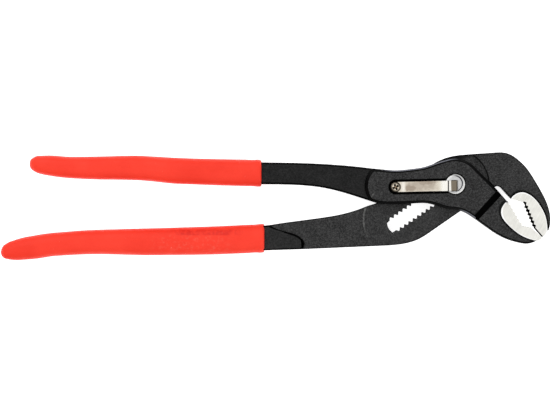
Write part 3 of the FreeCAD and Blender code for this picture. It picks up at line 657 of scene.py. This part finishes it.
# ---------------------------------------------------------------- dipped grips
# from tip to mouth, mm: along X, upper edge, lower edge, share of the full thickness
SLOT_GRIP = ((-247.9, -36.7, -37.7, 0.10), (-247.3, -34.6, -39.4, 0.34), (-245.4, -32.6, -40.9, 0.60),
             (-240.0, -30.2, -41.6, 0.80), (-232.0, -28.3, -41.2, 0.93), (-218.0, -26.3, -39.4, 1.0),
             (-196.0, -24.8, -38.4, 1.0), (-165.0, -23.9, -38.9, 1.0), (-137.0, -23.1, -38.7, 1.0),
             (-103.9, -21.6, -37.4, 0.97))
BOX_GRIP = ((-232.2, 11.4, 10.4, 0.10), (-231.7, 13.2, 8.7, 0.34), (-230.4, 14.5, 7.4, 0.60),
            (-227.6, 15.6, 5.9, 0.80), (-221.0, 15.8, 4.5, 0.95), (-210.0, 15.1, 3.1, 1.0),
            (-196.0, 15.2, 2.5, 1.0), (-175.0, 15.7, 2.1, 1.0), (-150.0, 14.4, 0.0, 1.0),
            (-105.5, 13.3, -1.5, 0.97))
GRIP_THICK = 13.6
UNEVEN = 0.22  # depth of the dip's slight unevenness, mm
LIP = 1.0  # radius of the rounded lip at the mouth, mm
LIP_SWELL = 0.08  # how far the lip stands out, mm
# round the mouth, mm: how far behind it, half length, height or depth
BEAD = (2.0, 2.2, 0.16)
DENT = (5.6, 2.4, 0.10)


def smooth_values(stations, x):
    """The stations' other columns at x, on a curve that doesn't overshoot."""
    spots = [s[0] for s in stations]
    i = max(k for k in range(len(spots) - 1) if spots[k] <= x + 1e-9)
    wide = spots[i + 1] - spots[i]
    t = min(max((x - spots[i]) / wide, 0.0), 1.0)
    values = []
    for column in range(1, len(stations[0])):
        rise = [(b[column] - a[column]) / (b[0] - a[0]) for a, b in zip(stations, stations[1:])]
        slopes = []
        for k in (i, i + 1):
            before = rise[max(k - 1, 0)]
            after = rise[min(k, len(rise) - 1)]
            slopes.append(2 * before * after / (before + after) if before * after > 0 else 0.0)
        a, b = stations[i][column], stations[i + 1][column]
        values.append((2 * t ** 3 - 3 * t ** 2 + 1) * a + (3 * t ** 2 - 2 * t ** 3) * b
                      + (t ** 3 - 2 * t ** 2 + t) * wide * slopes[0] + (t ** 3 - t ** 2) * wide * slopes[1])
    return values


def grip_ring(bm, x, upper, lower, half_thick, wave):
    """One ring of the sleeve: a section fuller than an ellipse, with a slight unevenness of wave mm."""
    around, fullness = 64, 2.7
    half, middle = (upper - lower) / 2, (upper + lower) / 2
    ring = []
    for k in range(around):
        angle = 2 * math.pi * k / around
        c, s = math.cos(angle), math.sin(angle)
        y = math.copysign(abs(c) ** (2 / fullness), c)
        z = math.copysign(abs(s) ** (2 / fullness), s)
        swell = 1 - wave * (0.5 + 0.5 * noise.noise(Vector((x * 0.05, y * 0.7, z * 0.7 + upper)))) / half
        place = Vector((x, middle + half * y * swell, MIDDLE + half_thick * z * swell))
        ring.append(bm.verts.new(place * MM))
    return ring


def grip(node, stations, body):
    """A dipped sleeve with a round tip, a bead at its mouth and a rounded lip that closes on the steel."""
    bm = bmesh.new()
    tip, mouth = stations[0][0], stations[-1][0]
    count = 150
    rings = []
    for k in range(count):
        x = tip + (mouth - LIP - tip) * (k / (count - 1)) ** 1.7  # closer together at the tip
        upper, lower, share = smooth_values(stations, x)
        near = max(0.0, 1 - abs(x - (mouth - BEAD[0])) / BEAD[1])
        grow = BEAD[2] * near * near * (3 - 2 * near)
        lift = grow - DENT[2] * max(0.0, 1 - abs(x - (mouth - DENT[0])) / DENT[1])
        rings.append(grip_ring(bm, x, upper + lift, lower - lift, GRIP_THICK / 2 * share + lift, UNEVEN))
    upper, lower, share = smooth_values(stations, mouth)
    for angle in (15, 30, 45, 60, 75, 90):
        turn = math.radians(angle)
        inward = LIP * (1 - math.cos(turn)) - LIP_SWELL * math.cos(turn)
        x = mouth - LIP + LIP * math.sin(turn)
        rings.append(grip_ring(bm, x, upper - inward, lower + inward, GRIP_THICK / 2 * share - inward,
                               UNEVEN))
    rings.append(grip_ring(bm, mouth - 0.4, upper - 1.7, lower + 1.7, GRIP_THICK / 2 * share - 1.7, 0.0))
    sweep(bm, rings)
    made = mesh_object(f"{node}_dipped", as_mesh(node, bm), [RED])
    made.data.set_sharp_from_angle(angle=math.radians(60))
    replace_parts(made, node)
    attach(made, body)


grip("slot_grip", SLOT_GRIP, "slot_side")
grip("box_grip", BOX_GRIP, "box_side")

# ---------------------------------------------------------------- leaf spring
TILT = math.radians(1.3)
THICK, HALF_WIDE, REACH = 0.5, 2.85, 33.5
FLOOR_Z, CREST_Z, TOE_Z = 13.0, 15.0, 14.15
RISE_START, CREST_START, CREST_END = 3.6, 27.4, 30.7
CREASE = 28.65
TOE_START = CREST_END - 0.55


def spring_point(along, across, z):
    """A point along and across the spring from its screw, in metres."""
    x = SCREW_AT.x + along * math.cos(TILT) - across * math.sin(TILT)
    y = SCREW_AT.y + along * math.sin(TILT) + across * math.cos(TILT)
    return Vector((x, y, z)) * MM


def spring_under(along):
    """Height of the spring's underside."""
    if along < RISE_START:
        return FLOOR_Z
    if along < CREST_START:
        t = (along - RISE_START) / (CREST_START - RISE_START)
        return FLOOR_Z + (CREST_Z - FLOOR_Z) * t
    if along < CREST_END:
        return CREST_Z
    return CREST_Z + (TOE_Z - CREST_Z) * (along - CREST_END) / (REACH - CREST_END)


def leaf_spring():
    """A swept strip with rounded long edges, a round eye end, a crease before its crest and a bent toe."""
    bm = bmesh.new()
    edge = 0.14
    stops = [-HALF_WIDE * math.cos(math.radians(a)) for a in range(8, 90, 9)]
    stops += [REACH * k / 74 for k in range(75)]
    stops += [CREASE - 0.15, CREASE, CREASE + 0.15, TOE_START, CREST_END + 0.12, CREST_END - 0.12,
              REACH - 0.15]
    rings = []
    for along in sorted(stops):
        half = math.sqrt(max(HALF_WIDE ** 2 - min(along, 0.0) ** 2, 0.01))
        if along > REACH - 0.1:
            half -= 0.12
        low = spring_under(along)
        high = low + THICK
        crease = 0.09 if along == CREASE else 0.0
        section = [(-half, low + edge), (-half + edge, low), (0, low), (half - edge, low), (half, low + edge),
                   (half, high - edge), (half - edge, high - crease), (half / 2, high - crease),
                   (0, high - crease), (-half / 2, high - crease), (-half + edge, high - crease),
                   (-half, high - edge)]
        rings.append([bm.verts.new(spring_point(along, across, z)) for across, z in section])
    sweep(bm, rings)
    # the crest takes the painted highlight copy of the steel, the toe the painted shade copy
    for face in bm.faces:
        along = face.calc_center_median().x / MM - SCREW_AT.x
        if along > TOE_START:
            face.material_index = 2
        elif along > CREASE:
            face.material_index = 1
    made = mesh_object("leaf_spring_strip", as_mesh("leaf_spring", bm), [LEAF, LEAF_CREST, LEAF_TOE])
    made.data.set_sharp_from_angle(angle=math.radians(16))
    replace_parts(made, "leaf_spring")
    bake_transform(made)


leaf_spring()

# ---------------------------------------------------------------- screw
HEAD_LOW, HEAD_HIGH, HEAD_RADIUS = 13.5, 14.6, 2.85
SHANK_LOW, SHANK_RADIUS = 10.8, 1.5
CROSS_DEPTH = 0.85


def cross_arm(bm, turn):
    """A tapered wedge that cuts one arm pair of the cross recess."""
    top, bottom = HEAD_HIGH + 0.05, HEAD_HIGH - CROSS_DEPTH
    corners = []
    # height, half length and half width of the wedge at its bottom and top
    for z, long, wide in ((bottom, 0.95, 0.34), (top, 1.85, 0.62)):
        for a, b in ((-1, -1), (1, -1), (1, 1), (-1, 1)):
            p = Vector((a * long, b * wide))
            x = p.x * math.cos(turn) - p.y * math.sin(turn) + SCREW_AT.x
            y = p.x * math.sin(turn) + p.y * math.cos(turn) + SCREW_AT.y
            corners.append(bm.verts.new(Vector((x, y, z)) * MM))
    for face in ((3, 2, 1, 0), (4, 5, 6, 7), (0, 1, 5, 4), (1, 2, 6, 5), (2, 3, 7, 6), (3, 0, 4, 7)):
        bm.faces.new([corners[k] for k in face])


def spring_screw():
    """A pan head screw: a lathed shape whose dome has a tapered cross cut into it."""
    around = 56
    # radius and height, from the shank's end to the top of the dome
    profile = [(0.0, SHANK_LOW), (SHANK_RADIUS, SHANK_LOW), (SHANK_RADIUS, HEAD_LOW), (2.72, HEAD_LOW),
               (HEAD_RADIUS, HEAD_LOW + 0.12), (HEAD_RADIUS, HEAD_LOW + 0.42), (2.76, HEAD_LOW + 0.62),
               (2.55, HEAD_LOW + 0.80), (2.15, HEAD_LOW + 0.95), (1.5, HEAD_LOW + 1.05), (0.8, HEAD_HIGH),
               (0.0, HEAD_HIGH)]
    bm = bmesh.new()
    rings = []
    for radius, z in profile:
        if radius == 0:
            rings.append([bm.verts.new(Vector((SCREW_AT.x, SCREW_AT.y, z)) * MM)])
            continue
        ring = []
        for k in range(around):
            angle = 2 * math.pi * k / around
            x = SCREW_AT.x + radius * math.cos(angle)
            y = SCREW_AT.y + radius * math.sin(angle)
            ring.append(bm.verts.new(Vector((x, y, z)) * MM))
        rings.append(ring)
    for one, other in zip(rings, rings[1:]):
        for k in range(around):
            j = (k + 1) % around
            loop = [one[k % len(one)], one[j % len(one)], other[j % len(other)], other[k % len(other)]]
            bm.faces.new(list(dict.fromkeys(loop)))
    made = mesh_object("spring_screw_detailed", as_mesh("spring_screw", bm), [SCREW, SCREW_RECESS])
    tools = []
    for name, turn in (("cutter_one", 25), ("cutter_two", 115)):
        cutter = bmesh.new()
        cross_arm(cutter, math.radians(turn))
        tools.append(mesh_object(name, as_mesh(name, cutter), [SCREW_RECESS]))
    for tool in tools:
        cut = made.modifiers.new("cross", "BOOLEAN")
        cut.operation = "DIFFERENCE"
        cut.solver = "EXACT"
        cut.material_mode = "TRANSFER"
        cut.object = tool
    carved = apply_modifiers(made)
    for tool in tools:
        bpy.data.objects.remove(tool)
    carved.polygons.foreach_set("use_smooth", [True] * len(carved.polygons))
    carved.set_sharp_from_angle(angle=math.radians(32))
    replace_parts(made, "spring_screw")
    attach(made, "box_side")


spring_screw()


# ---------------------------------------------------------------- button, bolt, ring and key
SPRING_POCKET = ((-2.7, 1.7), (-3.9, 2.3))  # where the toe lies on the button, mm
BUTTON_LOW = 13.5  # below this the button is hidden in the cheek, mm


def button_kind(p, normal):
    if abs(normal.z) > 0.5 and p.z > 14.6:
        return 0
    beside_toe = p.z > 14.0 and inside(p, SPRING_POCKET)
    in_pocket = beside_toe and not (p.z > 14.3 and abs(normal.z) > 0.5)
    # 1 is the painted highlight copy for the rim and sides, 2 the painted shade steel of the pocket
    return 1 if p.z > BUTTON_LOW and not in_pocket else 2


def button_round(p, edge):
    return 0.16 if p.z > BUTTON_LOW else 0.0


button = detailed("lock_button", [BUTTON, BUTTON_RIM, DARK_STEEL_AND_SHADE], button_kind, button_round, 1)
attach(button, "button")
keep("pivot_bolt", BOLT_STEEL)
keep("bolt_ring", RING_STEEL)
keep("lock_key", DARK_STEEL_AND_SHADE)

floor_sheet()
